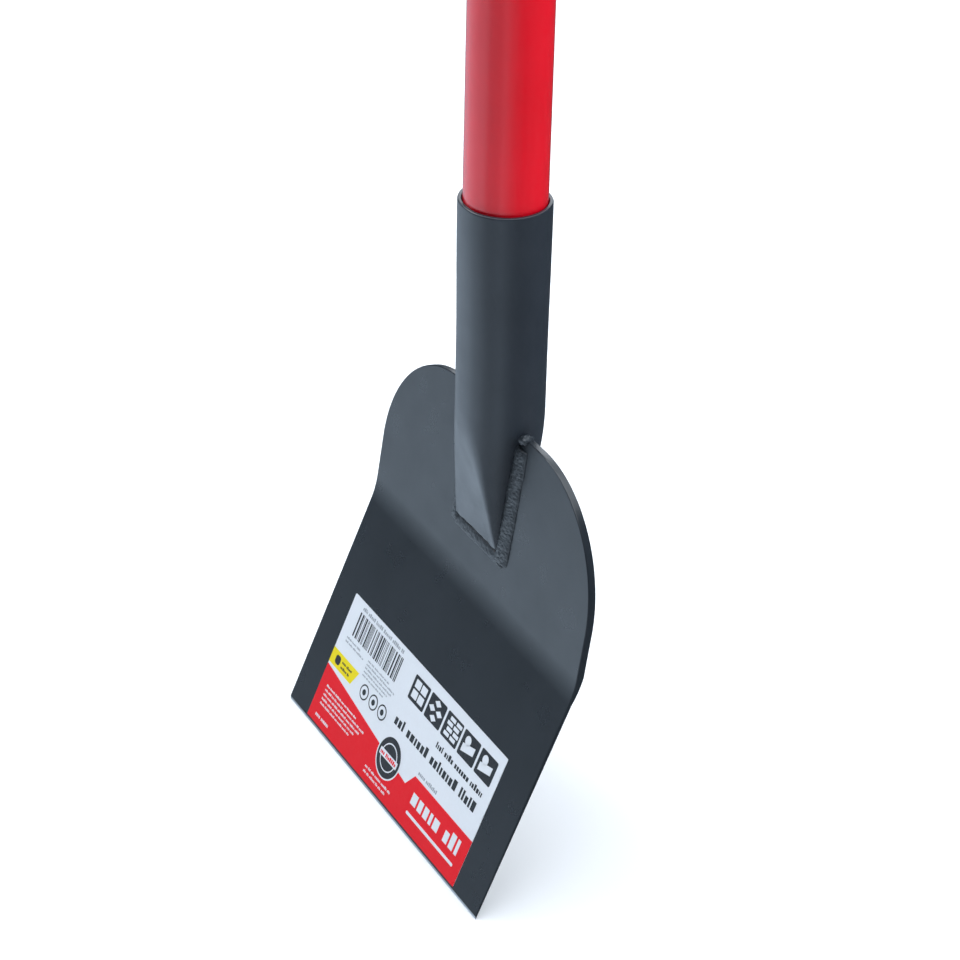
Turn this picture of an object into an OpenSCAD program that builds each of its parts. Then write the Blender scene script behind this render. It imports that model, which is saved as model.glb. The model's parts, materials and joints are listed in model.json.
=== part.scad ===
// Long-handled floor scraper.
// A bent steel blade sits in the slotted, squashed end of a tubular socket and is welded to it.
// A painted steel tube handle is riveted into the socket and ends in a soft grip and a hang-up cap.
// The origin is the middle of the cutting edge. +Z runs up the handle, the label faces -Y.

/* [Blade] */
// Width of the blade along its cutting edge
blade_w = 152.4; // [120:0.1:200]
// Thickness of the plate above the bend
plate_t = 3; // [2.5:0.1:4]
// Thickness of the ground section just below the bend
ground_t = 1.4; // [1:0.1:2]
// Thickness of the ground section behind the cutting bevel
edge_t = 0.6; // [0.4:0.1:0.9]
// Length of the bare cutting bevel on the front face
bevel_len = 1.2; // [0.8:0.1:2]
// Length of the ground section, from the cutting edge to the bend
ground_len = 94.4; // [80:0.1:120]
// Length of the shoulder section, from the bend to the top edge
shoulder_len = 70; // [60:0.5:80]
// Radius of the two top corners
corner_r = 47; // [20:1:52]
// Lean of the ground section away from the handle's direction
ground_lean = 23.3; // [18:0.1:28]
// Lean of the shoulder section away from the handle's direction
shoulder_lean = 8.1; // [5:0.1:12]
// Radius of the bend, on the front face
bend_r = 40; // [25:1:60]

/* [Socket] */
// Outside diameter of the socket tube
socket_d = 33; // [32.6:0.1:36]
// Wall thickness of the socket tube
socket_wall = 1.5; // [1.2:0.1:1.6]
// Height of the socket's rim above the cutting edge
rim_z = 241; // [220:1:280]
// Height at which the tube starts to be squashed
crease_z = 162; // [160:1:175]
// Distance from the bend up to the squashed toe of the socket
toe_len = 23; // [14:0.5:30]
// Distance of the handle's axis behind the plate's front face at the top edge
axis_set_back = 0.5; // [0:0.1:1.5]

/* [Welds] */
// Radius of the beads along both sides of the socket
side_bead_r = 3.2; // [2:0.1:4]
// Radius of the bead along the toe of the socket
toe_bead_r = 1.8; // [1:0.1:2.5]
// How far the beads' middles lie inside the plate
bead_sink = 0.4; // [0.2:0.1:0.8]

/* [Handle] */
// Outside diameter of the handle tube
handle_d = 29.5; // [28:0.1:29.5]
// Wall thickness of the handle tube
handle_wall = 1.2; // [1:0.1:2]
// Height of the handle's lower end, inside the socket
handle_foot_z = 172; // [170:1:190]
// Overall length of the tool
tool_len = 1219.2; // [900:0.1:1500]

/* [Rivets] */
// Diameter of the blind rivets' shanks
rivet_d = 4.8; // [4:0.1:5]
// Diameter of the rivet heads
rivet_head_d = 9.5; // [8:0.1:11]
// Height of the lower rivet
rivet_z = 196; // [190:1:200]
// Distance between the two rivets
rivet_pitch = 26; // [15:1:30]

/* [Grip and cap] */
// Length of the soft grip
grip_len = 150; // [80:1:250]
// Outside diameter of the grip
grip_d = 35; // [32:0.5:42]
// Number of finger grooves round the grip
grip_grooves = 14; // [4:1:20]
// Height of the cap above the grip
cap_h = 46; // [40:1:60]
// Thickness of the cap's hanging tab
tab_t = 10; // [6:0.5:14]
// Diameter of the hanging hole
hang_hole_d = 15; // [8:0.5:16]

/* [Label] */
// Width of the label
label_w = 120; // [60:1:140]
// Height of the label
label_h = 54; // [30:1:70]
// Thickness of the label
label_t = 0.2; // [0.1:0.05:0.4]
// Distance of the label above the cutting edge
label_gap = 2; // [1.5:0.5:20]
// Sideways offset of the label
label_dx = -1.4; // [-5:0.1:5]

/* [Hidden] */
$fn = 96;
eps = 0.01;
socket_r = socket_d / 2;
bore_d = socket_d - 2 * socket_wall;
handle_r = handle_d / 2;
handle_bore_d = handle_d - 2 * handle_wall;
bend_angle = ground_lean - shoulder_lean;
bend_steps = 12;

// Points are [y, z] pairs in the side view. "Along" climbs a leaning face, "into" points
// from its front to its back.
function along(lean) = [sin(lean), cos(lean)];
function into(lean) = [cos(lean), -sin(lean)];
function mix(a, b, t) = a + (b - a) * t;

// The cutting edge is the tip at [0, 0]: the front face starts above the bevel.
front_foot = -into(ground_lean) * edge_t;
front_bend = front_foot + along(ground_lean) * ground_len;
front_top = front_bend + along(shoulder_lean) * shoulder_len;
axis_y = front_top[0] + axis_set_back;

// The bend's centre lies in front of the blade, where the two front faces' fillet has it.
bend_mid = (ground_lean + shoulder_lean) / 2;
bend_centre = front_bend - into(bend_mid) * bend_r / cos(bend_angle / 2);

// The squashed toe is centred on the middle of the plate's thickness.
toe_mid = front_bend + along(shoulder_lean) * toe_len + into(shoulder_lean) * plate_t / 2;
toe_foot_z = toe_mid[1] - plate_t;

// Blind rivets, measured out from the handle's axis.
mandrel_r = 1.35;
bulb_r = 3.5;
bulb_h = 3;
bulb_top = sqrt(pow(handle_bore_d / 2, 2) - pow(bulb_r, 2));
bulb_foot = bulb_top - bulb_h;
rivet_head_h = 1.5;

cap_foot_z = tool_len - cap_h;
grip_foot_z = cap_foot_z - grip_len;
cap_collar_h = 12;
cap_shoulder_h = 5;
cap_plug_h = 24;
tab_w = 28;
hang_hole_z = tool_len - tab_w / 2;

// ---- Placing helpers ----

// Extrudes a side-view outline across the width.
module across(width) {
    rotate([90, 0, 90]) linear_extrude(width, center = true) children();
}

// Moves children to a side-view point on a leaning face: their z climbs the face.
module on_face(point, lean) {
    translate([0, point[0], point[1]]) rotate([-lean, 0, 0]) children();
}

module at_axis(z) {
    translate([0, axis_y, z]) children();
}

// ---- Blade ----

// Bend points, from the ground section up to the shoulder. The thickness grows on the way.
bend_front = [
    for (i = [0 : bend_steps])
        let (lean = mix(ground_lean, shoulder_lean, i / bend_steps))
            bend_centre + into(lean) * bend_r
];
bend_back = [
    for (i = [bend_steps : -1 : 0])
        let (t = i / bend_steps, lean = mix(ground_lean, shoulder_lean, t))
            bend_centre + into(lean) * (bend_r + mix(ground_t, plate_t, t))
];

// The bent plate at full width, before its top corners are rounded.
module bent_plate() {
    bevel_top = front_foot + along(ground_lean) * bevel_len;
    back_top = front_top + into(shoulder_lean) * plate_t;
    across(blade_w) polygon(concat([[0, 0], bevel_top], bend_front, [front_top, back_top], bend_back));
}

// The blade's outline, square to the shoulder section. It starts well below the cutting edge.
module blade_outline() {
    depth = 4 * plate_t + ground_len;
    straight_h = 2 * ground_len;
    corner_z = shoulder_len - corner_r;
    on_face(front_bend, shoulder_lean) rotate([90, 0, 0]) linear_extrude(depth, center = true) {
        translate([-blade_w / 2, corner_z - straight_h]) square([blade_w, straight_h]);
        translate([corner_r - blade_w / 2, corner_z - eps])
            square([blade_w - 2 * corner_r, corner_r + eps]);
        for (side = [-1, 1])
            translate([side * (blade_w / 2 - corner_r), corner_z]) circle(corner_r);
    }
}

module blade() {
    color("#3a444d") intersection() {
        bent_plate();
        blade_outline();
    }
}

module label() {
    color("#e8ecf2") on_face(front_foot, ground_lean)
        translate([label_dx - label_w / 2, -label_t, label_gap])
            cube([label_w, label_t, label_h]);
}

// ---- Socket ----

// Side view of the tube as the press leaves it: full depth above the creases, and two flats that
// close on the plate's middle at the toe.
module pressed_outline(radius, toe_t, lift) {
    run_out = 0.2;
    toe = toe_mid + along(shoulder_lean) * lift;
    toe_front = toe - into(shoulder_lean) * toe_t / 2;
    toe_back = toe + into(shoulder_lean) * toe_t / 2;
    front = mix([axis_y - radius, crease_z], toe_front, -run_out);
    back = mix([axis_y + radius, crease_z], toe_back, -run_out);
    top_z = rim_z + 2;
    polygon([toe_front, front, [front[0], top_z], [back[0], top_z], back, toe_back]);
}

// The flattened metal beside the plate stands out a little as a lip, from just below the plate's
// top edge down past the toe.
module flattened_sides() {
    lip = 0.6;
    below_top = 2;
    flat_t = plate_t + 2 * socket_wall;
    on_face(toe_mid, shoulder_lean) translate([-socket_r - lip, -flat_t / 2, -flat_t])
        cube([socket_d + 2 * lip, flat_t, shoulder_len - toe_len + flat_t - below_top]);
}

module socket_outside() {
    intersection() {
        union() {
            at_axis(toe_foot_z) cylinder(d = socket_d, h = rim_z - toe_foot_z);
            flattened_sides();
        }
        across(2 * socket_d) pressed_outline(socket_r, plate_t + 2 * socket_wall, 0);
    }
}

// The bore narrows below the handle and runs out against the plate a little above the toe.
module socket_inside() {
    closed_toe = 2;
    intersection() {
        at_axis(toe_foot_z) cylinder(d = bore_d, h = rim_z - toe_foot_z + 1);
        across(2 * socket_d) pressed_outline(bore_d / 2, plate_t / 2, closed_toe);
    }
}

module socket() {
    color("#3f4a54") difference() {
        socket_outside();
        socket_inside();
        bent_plate();
        rivet_holes();
    }
}

// ---- Welds ----

// A bead along one side of the socket, with its middle at the given depth into the plate and a
// blob at either end. It starts just below the toe and ends below the lip's top.
module side_bead(side, depth) {
    below_toe = 3;
    blob_r = 1.1 * side_bead_r;
    bead_len = shoulder_len - toe_len + below_toe - 2 * side_bead_r;
    on_face(front_bend, shoulder_lean)
        translate([side * (socket_r + side_bead_r / 2), depth, toe_len - below_toe]) {
            cylinder(r = side_bead_r, h = bead_len);
            for (z = [0, bead_len])
                translate([0, 0, z]) sphere(blob_r);
        }
}

// A bead across the toe, from one side bead to the other.
module toe_bead(depth) {
    difference() {
        on_face(front_bend, shoulder_lean) translate([0, depth, toe_len - toe_bead_r / 2])
            rotate([0, 90, 0]) cylinder(r = toe_bead_r, h = socket_d, center = true);
        side_bead(-1, depth);
        side_bead(1, depth);
    }
}

// The room outside the plate's front face (-1) or back face (+1), over the whole shoulder.
module outside_plate(face) {
    reach = 40;
    outer_face = face < 0 ? -reach : plate_t;
    on_face(front_bend, shoulder_lean) translate([-blade_w / 2, outer_face, 0])
        cube([blade_w, reach, 2 * shoulder_len]);
}

// Filler metal: what is left of a bead outside the steel it joins.
module weld(face) {
    color("#4b545c") difference() {
        intersection() {
            children();
            outside_plate(face);
        }
        socket_outside();
    }
}

module weld_front_left() { weld(-1) side_bead(-1, bead_sink); }
module weld_front_right() { mirror([1, 0, 0]) weld_front_left(); }
module weld_front_toe() { weld(-1) toe_bead(bead_sink); }
module weld_back_left() { weld(1) side_bead(-1, plate_t - bead_sink); }
module weld_back_right() { mirror([1, 0, 0]) weld_back_left(); }
module weld_back_toe() { weld(1) toe_bead(plate_t - bead_sink); }

// ---- Handle ----

module handle_tube() {
    tube_len = cap_foot_z + cap_collar_h / 2 - handle_foot_z;
    color("#c01226") difference() {
        at_axis(handle_foot_z) cylinder(d = handle_d, h = tube_len);
        at_axis(handle_foot_z - 1) cylinder(d = handle_bore_d, h = tube_len + 2);
        rivet_holes();
    }
}

// Two places on the socket's left side, with z along each rivet, out of the tube.
module at_rivets() {
    for (i = [0 : 1])
        at_axis(rivet_z + i * rivet_pitch) rotate([0, -90, 0]) children();
}

module rivet_holes() {
    at_rivets() cylinder(d = rivet_d, h = socket_r + 1, $fn = 32);
}

// One blind rivet, revolved: the bulb inside the handle, the shank and the flat head.
module rivet_body() {
    head_r = rivet_head_d / 2;
    head_foot = sqrt(pow(socket_r, 2) - pow(head_r, 2));
    head_top = socket_r + rivet_head_h;
    rotate_extrude() polygon([
        [mandrel_r, bulb_foot], [bulb_r, bulb_foot], [bulb_r, bulb_top], [rivet_d / 2, bulb_top],
        [rivet_d / 2, head_foot], [head_r, head_foot], [head_r, socket_r],
        [head_r - rivet_head_h, head_top], [mandrel_r, head_top]
    ]);
}

module rivet_bodies() {
    color("#2f383f") difference() {
        at_rivets() rivet_body();
        difference() {
            at_axis(crease_z) cylinder(d = socket_d, h = rim_z - crease_z);
            at_axis(crease_z) cylinder(d = bore_d, h = rim_z - crease_z);
            rivet_holes();
        }
    }
}

// The broken-off pull stems left inside the rivets, each with its round head.
module rivet_mandrels() {
    stem_top = socket_r + rivet_head_h / 2;
    color("#7c8288") at_rivets() {
        translate([0, 0, bulb_foot]) cylinder(r = mandrel_r, h = stem_top - bulb_foot);
        translate([0, 0, bulb_foot - mandrel_r]) cylinder(r = rivet_d / 2, h = mandrel_r);
    }
}

// ---- Grip and cap ----

module grip_sleeve() {
    groove_r = 1.2;
    lip_r = 2.5;
    groove_pitch = grip_len / (grip_grooves + 1);
    color("#1d1f22") at_axis(grip_foot_z) difference() {
        rotate_extrude() polygon([
            [handle_r, 0], [grip_d / 2 - lip_r, 0], [grip_d / 2, lip_r],
            [grip_d / 2, grip_len], [handle_r, grip_len]
        ]);
        for (i = [1 : grip_grooves])
            translate([0, 0, i * groove_pitch])
                rotate_extrude() translate([grip_d / 2, 0]) circle(groove_r, $fn = 24);
    }
}

// A flat tab with a round top and the hanging hole through it.
module hang_tab() {
    tab_r = tab_w / 2;
    at_axis(cap_foot_z + cap_collar_h) rotate([90, 0, 0]) linear_extrude(tab_t, center = true) {
        translate([-tab_r, 0]) square([tab_w, hang_hole_z - cap_foot_z - cap_collar_h]);
        translate([0, hang_hole_z - cap_foot_z - cap_collar_h]) circle(tab_r);
    }
}

module end_cap() {
    seat_h = cap_collar_h / 2;
    color("#17191b") difference() {
        union() {
            at_axis(cap_foot_z - cap_plug_h) cylinder(d = handle_bore_d, h = cap_plug_h + cap_collar_h);
            at_axis(cap_foot_z) cylinder(d = grip_d, h = cap_collar_h);
            at_axis(cap_foot_z + cap_collar_h) cylinder(d1 = grip_d, d2 = tab_w, h = cap_shoulder_h);
            hang_tab();
        }
        difference() {
            at_axis(cap_foot_z - cap_plug_h) cylinder(d = handle_d, h = cap_plug_h + seat_h);
            at_axis(cap_foot_z - cap_plug_h) cylinder(d = handle_bore_d, h = cap_plug_h + seat_h);
        }
        at_axis(hang_hole_z) rotate([90, 0, 0]) cylinder(d = hang_hole_d, h = grip_d, center = true);
    }
}

blade();
label();
socket();
weld_front_left();
weld_front_right();
weld_front_toe();
weld_back_left();
weld_back_right();
weld_back_toe();
handle_tube();
rivet_bodies();
rivet_mandrels();
grip_sleeve();
end_cap();
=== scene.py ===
"""Floor scraper: its looks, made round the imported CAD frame.

Lengths are in metres. The blade's pieces are placed with on_plate(x, s, depth): x runs along the
cutting edge, s climbs the blade's front face from the edge, and depth goes into the steel.
"""
import json
import math
import random

import bmesh
import bpy
from mathutils import Matrix, Vector, noise


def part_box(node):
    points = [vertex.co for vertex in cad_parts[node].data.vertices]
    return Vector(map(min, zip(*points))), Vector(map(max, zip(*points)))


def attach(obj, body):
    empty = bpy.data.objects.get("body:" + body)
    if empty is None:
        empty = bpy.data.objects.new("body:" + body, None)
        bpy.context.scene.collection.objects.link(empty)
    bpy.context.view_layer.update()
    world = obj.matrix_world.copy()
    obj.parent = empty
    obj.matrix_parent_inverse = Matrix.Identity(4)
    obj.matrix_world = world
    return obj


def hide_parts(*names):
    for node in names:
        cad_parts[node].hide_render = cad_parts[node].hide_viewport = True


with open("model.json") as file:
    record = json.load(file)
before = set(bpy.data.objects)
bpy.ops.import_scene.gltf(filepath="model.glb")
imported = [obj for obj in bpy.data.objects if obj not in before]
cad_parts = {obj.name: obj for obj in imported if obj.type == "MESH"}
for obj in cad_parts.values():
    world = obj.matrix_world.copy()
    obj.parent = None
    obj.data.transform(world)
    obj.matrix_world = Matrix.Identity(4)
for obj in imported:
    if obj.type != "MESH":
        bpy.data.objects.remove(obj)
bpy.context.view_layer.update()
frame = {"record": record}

MM = 0.001


def mount(name):
    """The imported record's mount of that name."""
    return next(m for m in frame["record"]["mounts"] if m["name"] == name)


# ---- Design sizes, as in the CAD ----

AXIS_Y = mount("hang_hole")["pos_m"][1]
HOLE_Z = mount("hang_hole")["pos_m"][2]

BLADE_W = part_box("blade")[1][0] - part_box("blade")[0][0]
PLATE_T = 3.0 * MM
GROUND_T = 1.4 * MM
EDGE_T = 0.6 * MM
BEVEL_LEN = 1.2 * MM
GROUND_LEN = 94.4 * MM
SHOULDER_LEN = 70.0 * MM
CORNER_R = 47.0 * MM
BEND_R = 40.0 * MM
GROUND_LEAN = math.radians(23.3)
SHOULDER_LEAN = math.radians(8.1)

SOCKET_R = 16.5 * MM
SOCKET_WALL = 1.5 * MM
CREASE_Z = 162.0 * MM
TOE_LEN = 23.0 * MM
RIM_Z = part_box("socket")[1][2]

HANDLE_R = 14.75 * MM
HANDLE_WALL = 1.2 * MM

LABEL_W = 120.0 * MM
LABEL_H = 54.0 * MM
LABEL_GAP = 2.0 * MM
LABEL_DX = -1.4 * MM

# ---- Small maths ----


def mix(a, b, t):
    return a + (b - a) * t


def clamp(value, low=0.0, high=1.0):
    return max(low, min(high, value))


def smooth_step(t):
    t = clamp(t)
    return t * t * (3 - 2 * t)


def smooth_min(a, b, k):
    """The smaller of a and b, with the corner between them rounded over k."""
    h = clamp(0.5 + 0.5 * (b - a) / k)
    return mix(b, a, h) - k * h * (1 - h)


# ---- The bent plate ----

BEND = GROUND_LEAN - SHOULDER_LEAN
BEND_TANGENT = BEND_R * math.tan(BEND / 2)
ARC_START = GROUND_LEN - BEND_TANGENT
ARC_END = ARC_START + BEND_R * BEND
FACE_LEN = ARC_END + SHOULDER_LEN - BEND_TANGENT
BEND_POINT = (ARC_START + ARC_END) / 2


def along(lean):
    return Vector((0, math.sin(lean), math.cos(lean)))


def into(lean):
    return Vector((0, math.cos(lean), -math.sin(lean)))


def lean_at(s):
    return mix(GROUND_LEAN, SHOULDER_LEAN, clamp((s - ARC_START) / (ARC_END - ARC_START)))


def on_plate(x, s, depth):
    """The point at x and s on the blade's front face, moved that depth into the steel."""
    lean = lean_at(s)
    point = along(GROUND_LEAN) * min(s, ARC_START) - into(GROUND_LEAN) * EDGE_T
    if s > ARC_START:
        point += (into(lean) - into(GROUND_LEAN)) * BEND_R
    if s > ARC_END:
        point += along(SHOULDER_LEAN) * (s - ARC_END)
    return Vector((x, 0, 0)) + point + into(lean) * depth


def thickness_at(s):
    if s <= ARC_START:
        return mix(EDGE_T, GROUND_T, s / ARC_START)
    return mix(GROUND_T, PLATE_T, clamp((s - ARC_START) / (ARC_END - ARC_START)))


# ---- Making pieces ----


def new_piece(name, bm, materials, nodes, sharp=math.radians(35)):
    """Turns bm into a smooth-shaded piece that stands for those CAD nodes."""
    bmesh.ops.recalc_face_normals(bm, faces=bm.faces)
    mesh = bpy.data.meshes.new(name)
    bm.to_mesh(mesh)
    bm.free()
    for material in materials:
        mesh.materials.append(material)
    mesh.shade_smooth()
    mesh.set_sharp_from_angle(angle=sharp)
    piece = bpy.data.objects.new(name, mesh)
    bpy.context.scene.collection.objects.link(piece)
    weighted = piece.modifiers.new("weighted_normals", "WEIGHTED_NORMAL")
    weighted.keep_sharp = True
    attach(piece, "root")
    if nodes:
        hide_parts(*nodes)
    return piece


def bridge_rings(bm, rings, closed, material=0):
    """Skins rings of equal length. Closed joins the last one back to the first."""
    loops = [[bm.verts.new(p) for p in ring] for ring in rings]
    pairs = list(zip(loops, loops[1:] + loops[:1] if closed else loops[1:]))
    for low, high in pairs:
        for k in range(len(low)):
            n = (k + 1) % len(low)
            bm.faces.new((low[k], low[n], high[n], high[k])).material_index = material
    return loops


def lathe_rings(profile, segments, place):
    """Rings of (radius, height) points turned round an axis. place maps local (x, y, z)."""
    turns = [2 * math.pi * k / segments for k in range(segments)]
    return [[place(r * math.cos(a), r * math.sin(a), h) for a in turns] for r, h in profile]


def round_corner(r, h, dr, dh, size, steps=4):
    """Profile points of a rounded corner at (r, h): in along dr, out along dh, each +1 or -1."""
    points = []
    for k in range(steps + 1):
        a = math.pi / 2 * k / steps
        points.append((r + dr * size * (1 - math.sin(a)), h + dh * size * (1 - math.cos(a))))
    return points


def at_axis(x, y, z):
    return Vector((x, AXIS_Y + y, z))


# ---- Materials ----


def new_material(name):
    """A new material, its node tree and its Principled shader."""
    material = bpy.data.materials.new(name)
    material.use_nodes = True
    tree = material.node_tree
    return material, tree, tree.nodes["Principled BSDF"]


def add(tree, kind, inputs=None, **settings):
    """A new node with its settings, and inputs that are values or other nodes' outputs."""
    node = tree.nodes.new(kind)
    for key, value in settings.items():
        setattr(node, key, value)
    for key, value in (inputs or {}).items():
        if isinstance(value, bpy.types.NodeSocket):
            tree.links.new(value, node.inputs[key])
        else:
            node.inputs[key].default_value = value
    return node


def object_coords(tree, stretch=(1, 1, 1)):
    coords = add(tree, "ShaderNodeTexCoord").outputs["Object"]
    return add(tree, "ShaderNodeMapping", {"Vector": coords, "Scale": stretch}).outputs["Vector"]


def noise_value(tree, scale, detail=3, stretch=(1, 1, 1), roughness=0.5):
    """Noise with that many lumps a metre."""
    node = add(tree, "ShaderNodeTexNoise", {
        "Vector": object_coords(tree, stretch), "Scale": scale, "Detail": detail,
        "Roughness": roughness})
    return node.outputs["Fac"]


def to_range(tree, value, from_low, from_high, to_low, to_high):
    return add(tree, "ShaderNodeMapRange", {
        "Value": value, "From Min": from_low, "From Max": from_high,
        "To Min": to_low, "To Max": to_high}).outputs["Result"]


def blend(tree, factor, first, second):
    """Colour between two colours or colour outputs."""
    node = add(tree, "ShaderNodeMix", {"Factor": factor}, data_type="RGBA")
    for socket, value in ((node.inputs[6], first), (node.inputs[7], second)):
        if isinstance(value, bpy.types.NodeSocket):
            tree.links.new(value, socket)
        else:
            socket.default_value = (*value, 1)
    return node.outputs[2]


def times(tree, first, second):
    return add(tree, "ShaderNodeMath", {0: first, 1: second}, operation="MULTIPLY").outputs[0]


def add_bump(tree, shader, height, distance, strength=1.0, under=None):
    """Bumps the shader by that height map, on top of another bump if given."""
    inputs = {"Height": height, "Distance": distance, "Strength": strength}
    if under is not None:
        inputs["Normal"] = under
    bump = add(tree, "ShaderNodeBump", inputs)
    tree.links.new(bump.outputs["Normal"], shader.inputs["Normal"])
    return bump.outputs["Normal"]


def specks(tree, per_metre, size):
    """1 in scattered round specks, fading to 0 round them. size is in cell widths."""
    cells = add(tree, "ShaderNodeTexVoronoi", {
        "Vector": object_coords(tree), "Scale": per_metre, "Randomness": 1.0})
    spot = to_range(tree, cells.outputs["Distance"], size, size * 0.5, 0, 1)
    chosen = add(tree, "ShaderNodeSeparateColor", {"Color": cells.outputs["Color"]})
    rare = to_range(tree, chosen.outputs["Red"], 0.94, 0.95, 0, 1)
    return times(tree, spot, rare)


def steel_paint(name, dark, light, roughness, grain):
    """Satin paint on steel: cloudy colour, dust specks, orange peel and a finer grain."""
    material, tree, shader = new_material(name)
    cloud = to_range(tree, noise_value(tree, 30, 4), 0.3, 0.7, 0, 1)
    paint = blend(tree, cloud, dark, light)
    dust = times(tree, specks(tree, 260, 0.1), 0.35)
    dust_colour = tuple(min(1, 3.2 * c) for c in light)
    tree.links.new(blend(tree, dust, paint, dust_colour), shader.inputs["Base Color"])
    gloss = noise_value(tree, 85, 5)
    tree.links.new(to_range(tree, gloss, 0.3, 0.7, roughness - 0.04, roughness + 0.05),
                   shader.inputs["Roughness"])
    shader.inputs["Specular IOR Level"].default_value = 0.55
    peel = add_bump(tree, shader, noise_value(tree, 220, 1), 0.01 * MM, 0.3)
    add_bump(tree, shader, noise_value(tree, 2600, 2), grain, 0.7, under=peel)
    return material


def gloss_paint(name, dark, light):
    """Deep gloss paint: lacquer coat, faint cloudiness, and fine scratches along the tube."""
    material, tree, shader = new_material(name)
    cloud = to_range(tree, noise_value(tree, 22, 4), 0.3, 0.7, 0, 1)
    tree.links.new(blend(tree, cloud, dark, light), shader.inputs["Base Color"])
    scratches = noise_value(tree, 1500, 4, stretch=(1, 1, 0.012))
    tree.links.new(to_range(tree, scratches, 0.35, 0.75, 0.14, 0.24), shader.inputs["Roughness"])
    shader.inputs["Coat Weight"].default_value = 0.25
    shader.inputs["Coat Roughness"].default_value = 0.12
    peel = add_bump(tree, shader, noise_value(tree, 420, 2), 0.02 * MM, 0.5)
    add_bump(tree, shader, scratches, 0.004 * MM, 0.5, under=peel)
    return material


def bare_metal(name, colour, roughness, stretch):
    """Bare ground metal with fine grinding lines along the axis that stretch shortens."""
    material, tree, shader = new_material(name)
    lines = noise_value(tree, 2500, 4, stretch=stretch)
    darker = tuple(0.6 * c for c in colour)
    tree.links.new(blend(tree, lines, darker, colour), shader.inputs["Base Color"])
    tree.links.new(to_range(tree, lines, 0.3, 0.7, roughness - 0.08, roughness + 0.1),
                   shader.inputs["Roughness"])
    shader.inputs["Metallic"].default_value = 1.0
    add_bump(tree, shader, lines, 0.006 * MM, 0.6)
    return material


def moulded(name, dark, light, roughness, grain_scale, grain):
    """Moulded rubber or plastic: cloudy black, a fine grain and duller patches."""
    material, tree, shader = new_material(name)
    cloud = to_range(tree, noise_value(tree, 60, 4), 0.3, 0.7, 0, 1)
    tree.links.new(blend(tree, cloud, dark, light), shader.inputs["Base Color"])
    tree.links.new(to_range(tree, noise_value(tree, 140, 4), 0.3, 0.7, roughness - 0.06,
                            roughness + 0.08), shader.inputs["Roughness"])
    add_bump(tree, shader, noise_value(tree, grain_scale, 3), grain, 0.7)
    return material


def printed_film(name, colour, mottle):
    """Ink on a coated label film: a faint mottle, a slight gloss and the film's own texture."""
    material, tree, shader = new_material(name)
    faded = tuple(mix(c, 0.55, mottle) for c in colour)
    fibres = to_range(tree, noise_value(tree, 900, 4), 0.35, 0.75, 0, 1)
    tree.links.new(blend(tree, fibres, colour, faded), shader.inputs["Base Color"])
    tree.links.new(to_range(tree, noise_value(tree, 200, 3), 0.3, 0.7, 0.3, 0.42),
                   shader.inputs["Roughness"])
    shader.inputs["Specular IOR Level"].default_value = 0.22
    add_bump(tree, shader, noise_value(tree, 150, 3), 0.02 * MM, 0.5)
    return material


BLADE_PAINT = steel_paint("blade_paint", dark=(0.011, 0.015, 0.020), light=(0.015, 0.020, 0.026),
                          roughness=0.30, grain=0.004 * MM)
SOCKET_PAINT = steel_paint("socket_paint", dark=(0.021, 0.027, 0.036), light=(0.026, 0.033, 0.043),
                           roughness=0.32, grain=0.006 * MM)
WELD_PAINT = steel_paint("weld_paint", dark=(0.022, 0.028, 0.035), light=(0.038, 0.047, 0.056),
                         roughness=0.42, grain=0.12 * MM)
BEVEL_STEEL = bare_metal("bevel_steel", (0.46, 0.47, 0.48), 0.34, (0.05, 1, 1))
HANDLE_PAINT = gloss_paint("handle_paint", (0.62, 0.001, 0.010), (0.69, 0.002, 0.014))
RIVET_METAL = bare_metal("rivet_metal", (0.72, 0.73, 0.75), 0.3, (1, 0.2, 1))
STEM_STEEL = bare_metal("stem_steel", (0.42, 0.42, 0.43), 0.4, (1, 1, 1))
GRIP_RUBBER = moulded("grip_rubber", dark=(0.013, 0.0135, 0.015), light=(0.02, 0.021, 0.023),
                      roughness=0.62, grain_scale=2600, grain=0.03 * MM)
CAP_PLASTIC = moulded("cap_plastic", dark=(0.014, 0.0145, 0.016), light=(0.019, 0.02, 0.022),
                      roughness=0.42, grain_scale=3600, grain=0.012 * MM)
LABEL_WHITE = printed_film("label_white", (0.70, 0.74, 0.79), 0.1)
LABEL_RED = printed_film("label_red", (0.74, 0.003, 0.012), 0.01)
LABEL_DARK = printed_film("label_dark", (0.022, 0.026, 0.032), 0.03)
LABEL_GREY = printed_film("label_grey", (0.30, 0.33, 0.37), 0.05)
LABEL_YELLOW = printed_film("label_yellow", (0.78, 0.64, 0.0), 0.02)


# ---- Blade ----

EDGE_ROUND = 0.4 * MM
TIP_T = 0.06 * MM


def blade_outline(inset):
    """(x, s) points round the blade, from the left end of the cutting edge, counter-clockwise."""
    half = BLADE_W / 2
    radius = CORNER_R - inset
    steps = 40
    points = [(inset - half, 0), (half - inset, 0)]
    for side in (1, -1):
        for k in range(steps + 1):
            a = math.pi / 2 * (k / steps if side > 0 else 1 - k / steps)
            points.append((side * (half - CORNER_R + radius * math.cos(a)),
                           FACE_LEN - CORNER_R + radius * math.sin(a)))
    return points


def front_depth(s):
    """Depth of the front surface: 0, but on the bevel it falls back to the edge's tip."""
    return max(0, (EDGE_T - TIP_T) * (1 - s / BEVEL_LEN))


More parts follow.
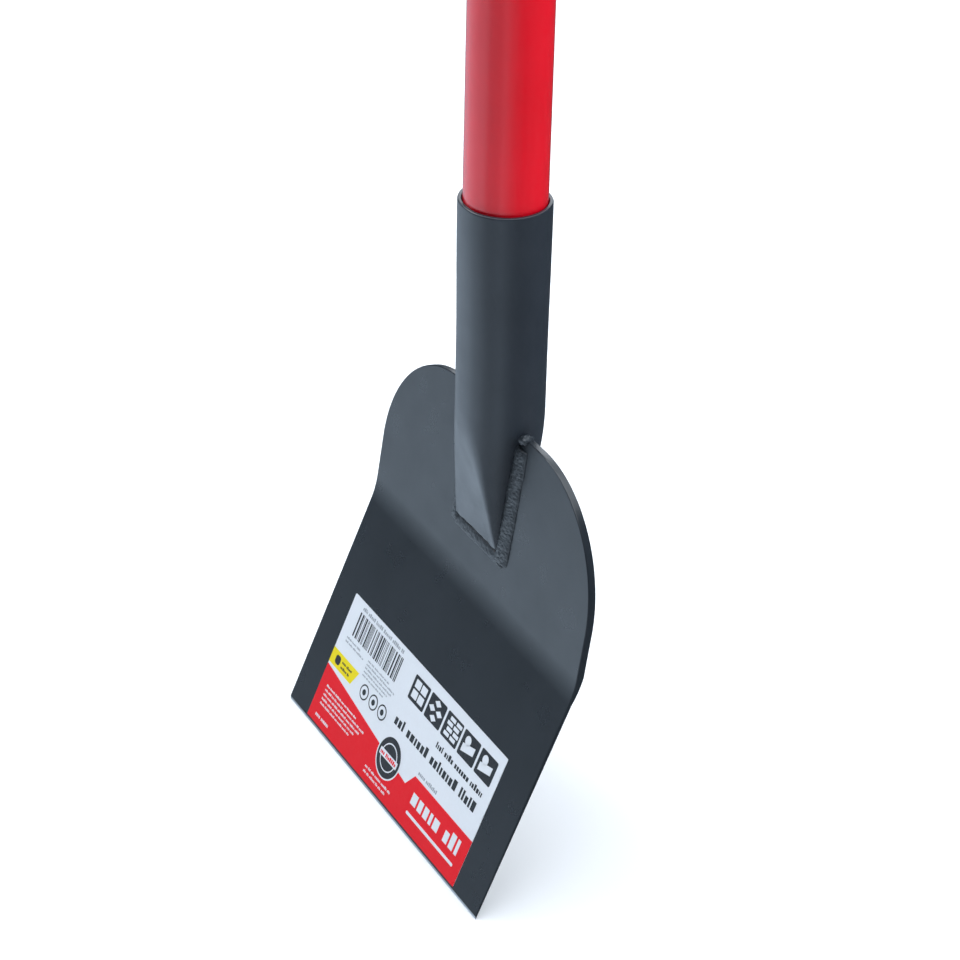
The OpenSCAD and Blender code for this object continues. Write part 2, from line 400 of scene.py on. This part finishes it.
def make_blade():
    rounding = [(EDGE_ROUND * (1 - math.sin(a)), EDGE_ROUND / PLATE_T * (1 - math.cos(a)))
                for a in (math.pi / 2 * k / 4 for k in range(5))]
    rings = [(inset, depth) for inset, depth in rounding]
    rings += [(inset, 1 - depth) for inset, depth in reversed(rounding)]
    bm = bmesh.new()
    loops = bridge_rings(bm, [[Vector((x, s, depth)) for x, s in blade_outline(inset)]
                              for inset, depth in rings], closed=False)
    bm.faces.new(loops[0])
    bm.faces.new(list(reversed(loops[-1])))
    bend_rows = [mix(ARC_START, ARC_END, k / 14) for k in range(15)]
    for s in [BEVEL_LEN] + bend_rows:
        bmesh.ops.bisect_plane(bm, geom=bm.verts[:] + bm.edges[:] + bm.faces[:],
                               plane_co=(0, s, 0), plane_no=(0, 1, 0))
    for face in bm.faces:
        centre = face.calc_center_median()
        on_bevel = centre.y < BEVEL_LEN and centre.z < 0.5
        face.material_index = 1 if on_bevel else 0
    for vert in bm.verts:
        x, s, part = vert.co
        front = front_depth(s)
        vert.co = on_plate(x, s, mix(front, thickness_at(s), part))
    new_piece("blade_shell", bm, [BLADE_PAINT, BEVEL_STEEL], ["blade"])


# ---- Label ----

FILM_T = 0.14 * MM
INK_T = 0.03 * MM
INK = {"white": 0, "red": 1, "dark": 2, "grey": 3, "yellow": 4}


def on_label(u, v, height):
    """A point on the label, from millimetres along it and up it, height above the steel."""
    return on_plate(LABEL_DX - LABEL_W / 2 + u * MM, LABEL_GAP + v * MM, -height)


def prism(bm, outline, low, high, material):
    """A flat closed shape on the label, between two heights."""
    loops = bridge_rings(bm, [[on_label(u, v, h) for u, v in outline] for h in (low, high)],
                         closed=False, material=material)
    for loop in (loops[0], list(reversed(loops[1]))):
        bm.faces.new(loop).material_index = material


def rounded_box(u0, v0, u1, v1, radius):
    corners = [(u1, v0, 1, -1), (u1, v1, 1, 1), (u0, v1, -1, 1), (u0, v0, -1, -1)]
    points = []
    for number, (u, v, du, dv) in enumerate(corners):
        for k in range(5):
            a = math.pi / 2 * (number - 1 + k / 4)
            points.append((u - du * radius + radius * math.cos(a),
                           v - dv * radius + radius * math.sin(a)))
    return points


def disc(u, v, radius, segments=40):
    turns = [2 * math.pi * k / segments for k in range(segments)]
    return [(u + radius * math.cos(a), v + radius * math.sin(a)) for a in turns]


class Print:
    """Draws flat ink on the label. Each further layer lies just above the one below."""

    def __init__(self):
        self.bm = bmesh.new()

    def shape(self, outline, ink, layer=0):
        low = FILM_T + layer * INK_T
        prism(self.bm, outline, low, low + INK_T, INK[ink])

    def box(self, u0, v0, u1, v1, ink, layer=0, radius=0.15):
        self.shape(rounded_box(u0, v0, u1, v1, radius), ink, layer)

    def words(self, u0, v0, u1, height, ink, layer=0, seed=1):
        """A line of plain blocks in groups, with the rhythm of print and no letters in it."""
        rng = random.Random(seed)
        u = u0
        while u < u1 - height:
            for _ in range(rng.randint(3, 8)):
                width = rng.choice((0.3, 0.5, 0.5, 0.62)) * height
                if u + width > u1:
                    break
                top = v0 + height * rng.choice((0.72, 0.72, 1))
                self.shape([(u, v0), (u + width, v0), (u + width, top), (u, top)], ink, layer)
                u += width + 0.2 * height
            u += 0.5 * height

    def lines(self, u0, v_top, u1, count, height, pitch, ink, layer=0, seed=1):
        for k in range(count):
            end = mix(u1, u0, 0.25 * ((seed * 7 + k * 5) % 4) / 3)
            self.words(u0, v_top - height - k * pitch, end, height, ink, layer, seed + k)


def print_code_bars(ink):
    """Upright bars of random widths: they hold no number."""
    rng = random.Random(11)
    u = 7.5
    while u < 42.5:
        width = rng.choice((0.3, 0.3, 0.6, 0.9))
        ink.box(u, 39.6, u + width, 49.8, "dark", radius=0.05)
        u += width + rng.choice((0.35, 0.35, 0.7, 1.0))
    ink.words(8, 51, 42, 1.5, "grey", seed=3)


def print_red_field(ink):
    """The red foot of the label: a slanted field that ends in a taller plain panel."""
    wide = LABEL_W / MM
    ink.shape([(0, 0), (wide, 0), (wide, 19.2), (76, 19.2), (72, 13.6), (0, 23.1)], "red")
    ink.words(79, 9.6, 115, 6.2, "white", layer=1, seed=45)
    ink.box(79, 5.2, 115, 6.4, "white", layer=1, radius=0.5)
    ink.lines(5, 16.2, 38, 5, 0.85, 1.9, "white", layer=1, seed=21)
    ink.words(5, 2.6, 16, 1.5, "white", layer=1, seed=8)
    ink.lines(46, 5.8, 68, 2, 1.0, 2.1, "white", layer=1, seed=31)


def print_size_flash(ink):
    ink.shape([(0, 24), (18, 24), (21, 30.4), (0, 30.4)], "yellow")
    ink.box(3.5, 25.4, 7.2, 29, "dark", layer=1, radius=1.2)
    ink.words(8.6, 27.6, 17, 1.1, "dark", layer=1, seed=4)
    ink.words(8.6, 25.5, 16, 1.1, "dark", layer=1, seed=6)


def print_round_icons(ink):
    for u in (28.3, 35.8, 43):
        ink.shape(disc(u, 26.5, 3.1), "dark")
        ink.shape(disc(u, 26.5, 2.5), "white", layer=1)
        ink.shape(disc(u, 26.5, 1.2), "dark", layer=2)


def print_badge(ink):
    """A plain round badge of rings with a light band."""
    u, v = 57.4, 15.4
    for layer, (radius, name) in enumerate(
            ((8.5, "white"), (7.9, "dark"), (5.6, "white"), (5.1, "dark")), start=1):
        ink.shape(disc(u, v, radius, 56), name, layer)
    ink.box(u - 6.6, v - 1.4, u + 6.6, v + 1.4, "white", layer=5, radius=0.3)
    ink.words(u - 5.9, v - 0.8, u + 6.2, 1.6, "red", layer=6, seed=2)


def print_use_icons(ink):
    """Five dark boxes, each with a simple light figure of a floor covering."""
    low, high = 39.8, 49.8
    pitch = 12.85
    for number in range(5):
        ink.box(53.4 + number * pitch, low, 65 + number * pitch, high, "dark", radius=0.7)
    for u0, v0 in ((55, 41.2), (59.6, 41.2), (55, 45.3), (59.6, 45.3)):
        ink.box(u0, v0, u0 + 3.9, v0 + 3.3, "white", layer=1, radius=0.3)
    for u, v in ((72, 41.8), (69.4, 44.8), (74.6, 44.8), (72, 47.8)):
        ink.shape([(u, v - 1.4), (u + 2.3, v), (u, v + 1.4), (u - 2.3, v)], "white", layer=1)
    for row in range(4):
        for column in range(2):
            u0 = 80.8 + column * 4.6 + 0.9 * (row % 2)
            ink.box(u0, 41 + row * 2.1, u0 + 3.7, 42.5 + row * 2.1, "white", layer=1, radius=0.2)
    for u in (93.5, 106.4):
        ink.shape([(u, 41.6), (u + 8, 43.4), (u + 8, 46.6), (u, 44.8)], "white", layer=1)
        ink.shape(disc(u + 2.4, 46.7, 1.9), "white", layer=1)


def print_headings(ink):
    ink.words(52, 27.6, 116, 4.0, "dark", seed=14)
    ink.words(80, 34.4, 116, 2.4, "dark", seed=15)
    ink.words(77, 20.6, 92, 1.5, "grey", seed=16)
    ink.lines(23, 37.8, 46, 5, 0.75, 1.5, "grey", seed=41)
    ink.lines(5, 38, 20, 2, 0.8, 1.6, "grey", seed=17)


def make_label():
    bm = bmesh.new()
    prism(bm, rounded_box(0, 0, LABEL_W / MM, LABEL_H / MM, 0.5), 0, FILM_T, 0)
    new_piece("label_film", bm, [LABEL_WHITE], ["label"])
    ink = Print()
    for draw in (print_code_bars, print_red_field, print_size_flash, print_round_icons,
                 print_badge, print_use_icons, print_headings):
        draw(ink)
    inks = [LABEL_WHITE, LABEL_RED, LABEL_DARK, LABEL_GREY, LABEL_YELLOW]
    new_piece("label_print", ink.bm, inks, [])


# ---- Socket ----

TOE_T = PLATE_T / 2 + SOCKET_WALL
TOE_S = BEND_POINT + TOE_LEN
TOE_MID = on_plate(0, TOE_S, PLATE_T / 2)
TOE_SIDE_DEPTH = 9 * MM
DRAWN_FROM = RIM_Z - 4 * MM
DRAWN_OVER = 58 * MM
FLAP_LIFT = 0.4 * MM
FLAP_LIFT_X = 11.5 * MM
FLAP_LIFT_W = 2.6 * MM
SOCKET_NARROWING = 0.5 * MM
RAGGED = 0.35 * MM
RIM_ROUND = 0.45 * MM


def press_amount(z):
    """How far the tube has been drawn in above the creases, 0 to 1."""
    return smooth_step((DRAWN_FROM - z) / DRAWN_OVER)


def eased(t, lag):
    """From 0 to 1 with an unhurried start: the larger the lag, the slower."""
    return (t - lag * (1 - math.exp(-t / lag))) / (1 - lag)


def toe_bulge(x, t):
    """The flaps stand off the plate near both ends of the toe."""
    near_end = math.exp(-((abs(x) - FLAP_LIFT_X) / FLAP_LIFT_W) ** 2)
    return FLAP_LIFT * near_end * smooth_step((t - 0.72) / 0.28)


def flat_depth(facing, t, centre_y):
    """Distance from the section's centre to the flat on its front (-1) or back (1)."""
    lag = 0.06 if facing < 0 else 0.15
    flat_y = mix(AXIS_Y + facing * SOCKET_R, TOE_MID.y + facing * TOE_T, eased(t, lag))
    return abs(flat_y - centre_y)


def socket_ring(level, wall, inset=0.0, segments=112):
    """One section of the tube. Level is the height above the creases, or below them it runs from
    0 to -1 at the toe. Wall is 0 outside and the wall's thickness inside."""
    t = max(0, -level)
    late = t ** 2.2
    lean = SHOULDER_LEAN * late
    z = mix(CREASE_Z + max(0, level), TOE_MID.z, t)
    centre = Vector((0, mix(AXIS_Y, TOE_MID.y, late), z))
    rim_drawn = press_amount(z) * (1 - t) if wall == 0 else 0.0
    across = SOCKET_R - SOCKET_NARROWING * smooth_step(1.6 * t) - wall - inset
    side = mix(SOCKET_R, TOE_SIDE_DEPTH, late) - wall - inset
    ring = []
    for k in range(segments):
        a = 2 * math.pi * k / segments
        bow = abs(math.sin(a))
        facing = -1 if math.sin(a) > 0 else 1
        x = across * math.cos(a)
        soft = (2.0 if facing < 0 else 4.0) * MM * mix(1, 0.4, t)
        flat = flat_depth(facing, t, centre.y) - wall - inset + (0.08 * MM if wall else 0)
        drawn = rim_drawn * (0.9 if facing < 0 else 0.4) * MM * bow ** 2
        depth = smooth_min(side * bow, flat + 0.15 * soft * (1 - t), soft)
        depth = max(0, depth - drawn) + toe_bulge(x, t) * bow
        ragged = RAGGED * noise.noise(Vector((x, facing, 0)) * 260) * smooth_step((t - 0.97) / 0.03)
        ring.append(centre + Vector((x, 0, 0)) + into(lean) * facing * depth + along(lean) * ragged)
    return ring


def make_socket():
    round_off = [(RIM_ROUND * (1 - math.sin(a)), RIM_ROUND * (1 - math.cos(a)))
                 for a in (math.pi / 2 * k / 3 for k in range(4))]
    height = RIM_Z - CREASE_Z
    rings = [socket_ring(height - drop, 0, inset) for inset, drop in round_off]
    rings += [socket_ring(mix(height - MM, 0, k / 20), 0) for k in range(20)]
    rings += [socket_ring(-k / 60, 0) for k in range(60)]
    rings += [socket_ring(-0.996, 0), socket_ring(-1, 0, 0.2 * MM)]
    rings += [socket_ring(-1 + k / 30, SOCKET_WALL) for k in range(30)]
    rings += [socket_ring(mix(0, height - 0.3 * MM, k / 6), SOCKET_WALL) for k in range(7)]
    rings += [socket_ring(height, SOCKET_WALL - 0.3 * MM)]
    bm = bmesh.new()
    bridge_rings(bm, rings, closed=True)
    new_piece("socket_tube", bm, [SOCKET_PAINT], ["socket"])


# ---- Welds ----

BEAD_X = 19.1 * MM
BEAD_HALF_W = 4.0 * MM
BEAD_H = 1.5 * MM
BEAD_GRAIN = 0.3 * MM
BEAD_STEP = 0.25 * MM
BEAD_SECTIONS = 26
BEAD_WANDER = 0.4 * MM
BEAD_ROOT = 0.5 * MM
UNDERCUT = 0.1 * MM
TOE_BEAD_HALF_W = 2.6 * MM
TOE_BEAD_H = 0.9 * MM
TOE_BEAD_GRAIN = 0.22 * MM
TOE_BEAD_BELOW = 3.2 * MM
SIDE_BEAD_BELOW = 4.5 * MM


def lumps(point, seed):
    """Random height of weld metal at a point: coarse ripples and finer grains."""
    shifted = point + Vector((0, 0, seed))
    ripples = 0.4 * noise.noise(shifted * 300) + 0.8 * noise.noise(shifted * 900)
    return ripples + 0.9 * noise.noise(shifted * 2200)


def bead(bm, start, end, half_w, height, grain, face, tilt, seed):
    """A lumpy bead on the shoulder from start to end, both (x, s). face: -1 front, 1 back."""
    (x0, s0), (x1, s1) = start, end
    length = math.hypot(x1 - x0, s1 - s0)
    side_x, side_s = (s1 - s0) / length, -(x1 - x0) / length
    count = int(length / BEAD_STEP)
    rings = []
    for i in range(count + 1):
        f = i / count
        taper = math.sqrt(clamp(1 - (2 * abs(f - 0.5)) ** 24)) * 0.98 + 0.02
        wander = BEAD_WANDER * noise.noise(Vector((f * length * 140, seed, 0)))
        ring = []
        for k in range(BEAD_SECTIONS + 1):
            q = -math.cos(math.pi * k / BEAD_SECTIONS)
            rise = height * (1 - abs(q) ** 2.6) ** 0.6 * (1 - tilt * q) * taper
            offset = q * half_w * mix(0.6, 1, taper) + wander
            x = mix(x0, x1, f) + side_x * offset
            s = mix(s0, s1, f) + side_s * offset
            rise += grain * lumps(Vector((x, s, face * MM)), seed) * min(1, 2 * rise / height)
            rise = max(rise, -UNDERCUT)
            ring.append(on_plate(x, s, -rise if face < 0 else PLATE_T + rise))
        sunk = BEAD_ROOT if face < 0 else PLATE_T - BEAD_ROOT
        for q in (0.9, 0, -0.9):
            offset = q * half_w * taper
            ring.append(on_plate(mix(x0, x1, f) + side_x * offset,
                                 mix(s0, s1, f) + side_s * offset, sunk))
        rings.append(ring)
    loops = bridge_rings(bm, rings, closed=False)
    bm.faces.new(loops[0])
    bm.faces.new(list(reversed(loops[-1])))


def blob(bm, x, s, depth, radii, seed):
    """A lumpy knob of weld metal, with its half sizes across, up and through the plate."""
    ball = bmesh.ops.create_icosphere(bm, subdivisions=4, radius=1)
    for vert in ball["verts"]:
        d = vert.co.normalized()
        grow = 1 + 0.3 * noise.noise(d * 1.8 + Vector((seed, 0, 0)))
        grow += 0.1 * noise.noise(d * 6 + Vector((0, seed, 0)))
        vert.co = on_plate(x + d.x * radii[0] * grow, s + d.y * radii[1] * grow,
                           depth + d.z * radii[2] * grow)


def make_side_weld(name, side, face, seed):
    """A bead beside the socket. Those in front also wrap over the plate's top edge."""
    bm = bmesh.new()
    slimmer = 1.2 * MM if side < 0 else 0
    x = side * (BEAD_X - slimmer)
    low, high = TOE_S - SIDE_BEAD_BELOW, FACE_LEN - 4.2 * MM
    bead(bm, (x - side * 1.2 * MM, low), (x, high), BEAD_HALF_W - slimmer, BEAD_H, BEAD_GRAIN,
         face, 0.3 * side, seed)
    if face < 0:
        blob(bm, x + side * 0.3 * MM, FACE_LEN - 0.6 * MM, 0.25 * PLATE_T,
             (2.1 * MM, 1.9 * MM, 2.7 * MM), seed)
    new_piece(name + "_bead", bm, [WELD_PAINT], [name], sharp=math.radians(180))


def make_toe_weld(name, face, seed):
    """A low bead across the toe, with a drop of weld metal at its right end."""
    bm = bmesh.new()
    s = TOE_S - TOE_BEAD_BELOW
    reach = SOCKET_R + 0.4 * MM
    bead(bm, (-reach, s), (reach, s - 0.4 * MM), TOE_BEAD_HALF_W, TOE_BEAD_H, TOE_BEAD_GRAIN,
         face, 0, seed)
    face_depth = 0 if face < 0 else PLATE_T
    blob(bm, reach + 0.3 * MM, s - 1.1 * MM, face_depth, (1.9 * MM, 1.7 * MM, 1.0 * MM), seed + 3)
    new_piece(name + "_bead", bm, [WELD_PAINT], [name], sharp=math.radians(180))


def make_welds():
    for face, where in ((-1, "front"), (1, "back")):
        for side, hand in ((-1, "left"), (1, "right")):
            make_side_weld("weld_%s_%s" % (where, hand), side, face, 3 * face + side + 8)
        make_toe_weld("weld_%s_toe" % where, face, face + 20)


# ---- Handle and rivets ----


def lathe(bm, profile, segments, place, closed):
    """Turns a profile. A closed one makes a tube wall, an open one is capped at both ends."""
    loops = bridge_rings(bm, lathe_rings(profile, segments, place), closed)
    if not closed:
        bm.faces.new(loops[0])
        bm.faces.new(list(reversed(loops[-1])))


def make_handle():
    low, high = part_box("handle_tube")[0][2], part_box("handle_tube")[1][2]
    inner = HANDLE_R - HANDLE_WALL
    rows = [mix(low, high, k / 12) for k in range(13)]
    profile = [(HANDLE_R, z) for z in rows] + [(inner, z) for z in (high, low)]
    bm = bmesh.new()
    lathe(bm, profile, 128, at_axis, closed=True)
    new_piece("handle_shaft", bm, [HANDLE_PAINT], ["handle_tube"])


RIVET_SHANK_R = 2.4 * MM
RIVET_HEAD_R = 4.75 * MM
RIVET_HEAD_H = 1.5 * MM
STEM_R = 1.35 * MM
BULB_R = 3.5 * MM
BULB_H = 3.0 * MM
RIVET_PITCH = 26 * MM
RIVET_Z = (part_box("rivet_bodies")[0][2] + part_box("rivet_bodies")[1][2] - RIVET_PITCH) / 2


def rivet_place(z):
    """Maps a lathe whose axis leaves the left side of the tube at height z."""
    return lambda x, y, h: at_axis(-h, x, z + y)


def make_rivets():
    bore = HANDLE_R - HANDLE_WALL
    bulb_top = math.sqrt(bore ** 2 - BULB_R ** 2)
    head_foot = math.sqrt(SOCKET_R ** 2 - RIVET_HEAD_R ** 2)
    top = SOCKET_R + RIVET_HEAD_H
    dome = [(STEM_R + (RIVET_HEAD_R - STEM_R) * math.cos(a), SOCKET_R + RIVET_HEAD_H * math.sin(a))
            for a in (math.pi / 2 * k / 8 for k in range(8))]
    body = [(STEM_R, bulb_top - BULB_H), (BULB_R - 0.6 * MM, bulb_top - BULB_H),
            (BULB_R, bulb_top - BULB_H / 2), (BULB_R - 0.5 * MM, bulb_top - 0.2 * MM),
            (RIVET_SHANK_R, bulb_top), (RIVET_SHANK_R, head_foot), (RIVET_HEAD_R, head_foot)]
    body += dome + [(STEM_R + 0.5 * MM, top - 0.05 * MM), (STEM_R, top - 0.4 * MM)]
    stem_top = SOCKET_R + RIVET_HEAD_H / 2
    bulb_foot = bulb_top - BULB_H
    stem = [(RIVET_SHANK_R - 0.6 * MM, bulb_foot - STEM_R), (RIVET_SHANK_R, bulb_foot - 0.5 * STEM_R),
            (RIVET_SHANK_R - 0.1 * MM, bulb_foot), (STEM_R, bulb_foot), (STEM_R, stem_top - 0.25 * MM),
            (0.8 * STEM_R, stem_top), (0.3 * STEM_R, stem_top - 0.15 * MM)]
    bodies, stems = bmesh.new(), bmesh.new()
    for z in (RIVET_Z, RIVET_Z + RIVET_PITCH):
        lathe(bodies, body, 48, rivet_place(z), closed=True)
        lathe(stems, stem, 32, rivet_place(z), closed=False)
    new_piece("rivet_shells", bodies, [RIVET_METAL], ["rivet_bodies"])
    new_piece("rivet_stems", stems, [STEM_STEEL], ["rivet_mandrels"])


# ---- Grip and cap ----

GRIP_R = 17.5 * MM
GRIP_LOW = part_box("grip_sleeve")[0][2]
GRIP_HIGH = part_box("grip_sleeve")[1][2]
GRIP_GROOVES = 14
GRIP_ROWS = 600
GROOVE_DEPTH = 1.2 * MM
GROOVE_HALF_W = 1.9 * MM
COLLAR_H = 12 * MM
CONE_H = 5 * MM
PLUG_H = 24 * MM
TAB_R = 14 * MM
TAB_HALF_T = 5 * MM
HOLE_R = 7.5 * MM


def grip_radius(z):
    """Radius of the sleeve: grooves with rounded flanks, and lands that are slightly crowned."""
    pitch = (GRIP_HIGH - GRIP_LOW) / (GRIP_GROOVES + 1)
    number = clamp(round((z - GRIP_LOW) / pitch), 1, GRIP_GROOVES)
    away = abs(z - GRIP_LOW - number * pitch)
    groove = GROOVE_DEPTH * (1 - smooth_step(away / GROOVE_HALF_W)) ** 0.8
    crown = 0.25 * MM * (1 - clamp(away / (pitch / 2)))
    end = min(z - GRIP_LOW, GRIP_HIGH - z)
    lip = 2.2 * MM * (1 - math.sqrt(clamp(1 - (1 - clamp(end / (2.5 * MM))) ** 2)))
    return GRIP_R - groove - crown - lip


def make_grip():
    inner = HANDLE_R + 0.02 * MM
    rows = [mix(GRIP_LOW, GRIP_HIGH, k / GRIP_ROWS) for k in range(GRIP_ROWS + 1)]
    profile = [(grip_radius(z), z) for z in rows] + [(inner, GRIP_HIGH), (inner, GRIP_LOW)]
    bm = bmesh.new()
    lathe(bm, profile, 96, at_axis, closed=True)
    new_piece("grip_sleeve_soft", bm, [GRIP_RUBBER], ["grip_sleeve"])


def tab_outline(a):
    """Distance from the hole's centre to the tab's outline: round above, straight sides below."""
    floor = HOLE_Z - GRIP_HIGH - COLLAR_H + 1.5 * MM
    if math.sin(a) >= 0:
        return TAB_R
    to_side = TAB_R / max(abs(math.cos(a)), 1e-6)
    return min(to_side, floor / -math.sin(a))


def tab_ring(share, half_t, segments=96):
    """A loop round the hole, share of the way out to the outline, with a flared foot."""
    ring = []
    for k in range(segments):
        a = 2 * math.pi * (k + 0.5) / segments
        r = mix(HOLE_R, tab_outline(a), share)
        z = HOLE_Z + r * math.sin(a)
        foot = math.exp(-(z - GRIP_HIGH - COLLAR_H - CONE_H) / (2.2 * MM))
        flare = 1 + 0.5 * min(foot, 1)
        ring.append(at_axis(r * math.cos(a), half_t * flare, z))
    return ring


def make_end_cap():
    bm = bmesh.new()
    foot = GRIP_HIGH
    seat = foot + COLLAR_H / 2
    collar_top = foot + COLLAR_H
    plug_r = HANDLE_R - HANDLE_WALL - 0.03 * MM
    profile = [(plug_r - 2 * MM, foot - PLUG_H), (plug_r - 1 * MM, foot - PLUG_H)]
    profile += [(plug_r, foot - PLUG_H + 2 * MM), (plug_r, seat), (HANDLE_R + 0.03 * MM, seat)]
    profile += [(HANDLE_R + 0.03 * MM, foot)]
    profile += list(reversed(round_corner(GRIP_R, foot, -1, 1, 0.9 * MM)))
    profile += round_corner(GRIP_R, collar_top, -1, -1, 1.6 * MM)[::-1][:3]
    profile += [(mix(GRIP_R - 0.7 * MM, TAB_R, f), collar_top + CONE_H * f ** 1.2)
                for f in (0.1, 0.3, 0.5, 0.7, 0.85, 0.95)]
    profile += [(TAB_R - 1 * MM, collar_top + CONE_H), (TAB_R - 5 * MM, collar_top + CONE_H + 0.2 * MM)]
    lathe(bm, profile, 96, at_axis, closed=False)
    soft = 0.18
    steps = [math.pi / 2 * k / 4 for k in range(5)]
    hole = [(soft * (1 - math.sin(a)), 1 - soft * (1 - math.cos(a))) for a in steps]
    rim = [(1 - soft * (1 - math.cos(a)), 1 - soft * (1 - math.sin(a))) for a in reversed(steps)]
    front = list(reversed(hole)) + list(reversed(rim))
    shape = [(share, t) for share, t in front] + [(share, -t) for share, t in reversed(front)]
    bridge_rings(bm, [tab_ring(share, TAB_HALF_T * t) for share, t in shape], closed=True)
    new_piece("hang_cap", bm, [CAP_PLASTIC], ["end_cap"], sharp=math.radians(40))


# ---- Stage, lights and camera ----

FLOOR_HALF = 6.0


def make_floor():
    material, tree, shader = new_material("pale_floor")
    mottle = to_range(tree, noise_value(tree, 3, 2), 0.3, 0.7, 0, 1)
    tree.links.new(blend(tree, mottle, (0.86, 0.865, 0.87), (0.88, 0.885, 0.89)),
                   shader.inputs["Base Color"])
    shader.inputs["Roughness"].default_value = 0.9
    bm = bmesh.new()
    signs = ((-1, -1), (1, -1), (1, 1), (-1, 1))
    corners = [bm.verts.new((x * FLOOR_HALF, y * FLOOR_HALF, 0)) for x, y in signs]
    bm.faces.new(corners)
    mesh = bpy.data.meshes.new("floor")
    bm.to_mesh(mesh)
    bm.free()
    mesh.materials.append(material)
    floor = bpy.data.objects.new("floor", mesh)
    bpy.context.scene.collection.objects.link(floor)
    floor.visible_glossy = False


def aim(thing, target):
    thing.rotation_euler = (target - thing.location).to_track_quat("-Z", "Y").to_euler()


def make_light(name, location, target, size, watts, mirrored=True):
    """A soft rectangular light. One that isn't mirrored lights the tool without a reflection."""
    data = bpy.data.lights.new(name, "AREA")
    data.shape = "RECTANGLE"
    data.size, data.size_y = size
    data.energy = watts
    data.color = LIGHT_TINT
    light = bpy.data.objects.new(name, data)
    light.location = location
    light.visible_camera = False
    light.visible_glossy = mirrored
    bpy.context.scene.collection.objects.link(light)
    aim(light, Vector(target))


STUDIO_TINT = (0.82, 1.0, 1.2)
LIGHT_TINT = (0.94, 1.0, 1.07)
BRIGHT_SIDE = (-0.3, -0.954)
DARK_FLAG = (0.407, -0.914)
ROOM_LIGHT = 0.04


def towards(tree, heading, direction, start, low, high):
    """From low to high as the level heading turns to that direction. It begins to rise where the
    cosine of the angle between them is start."""
    facing = add(tree, "ShaderNodeVectorMath", {0: heading, 1: (*direction, 0)},
                 operation="DOT_PRODUCT")
    ramp = add(tree, "ShaderNodeMapRange", {
        "Value": facing.outputs["Value"], "From Min": start, "From Max": 1.0,
        "To Min": low, "To Max": high}, interpolation_type="SMOOTHSTEP")
    return ramp.outputs["Result"]


def make_studio():
    """The studio that the tool mirrors: a bright table in front and to the left with a dark flag
    across it, and a dim room above and behind. It is a function of direction alone."""
    world = bpy.data.worlds.new("studio")
    world.use_nodes = True
    tree = world.node_tree
    direction = add(tree, "ShaderNodeTexCoord").outputs["Generated"]
    parts = add(tree, "ShaderNodeSeparateXYZ", {"Vector": direction})
    level = add(tree, "ShaderNodeVectorMath", {0: direction, 1: (1, 1, 0)}, operation="MULTIPLY")
    heading = add(tree, "ShaderNodeVectorMath", {0: level.outputs["Vector"]}, operation="NORMALIZE")
    side = towards(tree, heading.outputs["Vector"], BRIGHT_SIDE, -0.5, 0.03, 1.42)
    flag = towards(tree, heading.outputs["Vector"], DARK_FLAG, 0.88, 1.0, 0.55)
    below = to_range(tree, parts.outputs["Z"], 0.0, -0.62, 0.0, 1.25)
    table = times(tree, times(tree, side, flag), below)
    room = add(tree, "ShaderNodeMath", {0: table, 1: ROOM_LIGHT}, operation="ADD")
    background = tree.nodes["Background"]
    background.inputs["Color"].default_value = (*STUDIO_TINT, 1)
    tree.links.new(room.outputs[0], background.inputs["Strength"])
    bpy.context.scene.world = world


def make_lights():
    make_light("overhead", (-0.2, 0.1, 2.6), (-0.2, 0.1, 0), (2.8, 2.8), 84)
    make_light("key_left", (-1.0, -0.6, 1.3), (0, 0, 0.15), (0.8, 0.8), 16)
    make_light("fill_right", (1.1, 0.9, 0.9), (0, 0, 0.2), (1.0, 1.4), 19, mirrored=False)
    make_light("edge_glint", (-0.3, 1.45, 1.9), (0, 0, 0.12), (1.6, 0.3), 7)
    make_light("lobe_glint", (-1.5, 1.1, 0.9), (0, 0, 0.2), (1.2, 0.8), 9)


# The camera looks down at a point on the handle's axis. It is rolled a little and aimed slightly to
# one side, so that the handle leans a touch in the frame.
CAMERA_AZIMUTH = math.radians(60.31)
CAMERA_ELEVATION = math.radians(31.24)
CAMERA_ROLL = math.radians(1.66)
CAMERA_DISTANCE = 1.0973
CAMERA_LENS = 114.66
CAMERA_SIDESTEP = 0.00626
TARGET_Z = 0.1288


def make_camera():
    az, el = CAMERA_AZIMUTH, CAMERA_ELEVATION
    back = Vector((math.sin(az) * math.cos(el), -math.cos(az) * math.cos(el), math.sin(el)))
    right = Vector((math.cos(az), math.sin(az), 0))
    up = back.cross(right)
    rolled_right = math.cos(CAMERA_ROLL) * right + math.sin(CAMERA_ROLL) * up
    rolled_up = back.cross(rolled_right)
    target = Vector((0, AXIS_Y, TARGET_Z))
    location = target + back * CAMERA_DISTANCE
    view_back = (location - (target - rolled_right * CAMERA_SIDESTEP)).normalized()
    view_right = rolled_up.cross(view_back).normalized()
    view_up = view_back.cross(view_right)
    data = bpy.data.cameras.new("camera")
    data.lens = CAMERA_LENS
    data.clip_start = 0.05
    camera = bpy.data.objects.new("camera", data)
    camera.matrix_world = Matrix((
        (view_right.x, view_up.x, view_back.x, location.x),
        (view_right.y, view_up.y, view_back.y, location.y),
        (view_right.z, view_up.z, view_back.z, location.z),
        (0, 0, 0, 1)))
    bpy.context.scene.collection.objects.link(camera)
    bpy.context.scene.camera = camera


bpy.context.scene.view_settings.view_transform = "Standard"
make_blade()
make_label()
make_socket()
make_welds()
make_handle()
make_rivets()
make_grip()
make_end_cap()
make_floor()
make_studio()
make_lights()
make_camera()
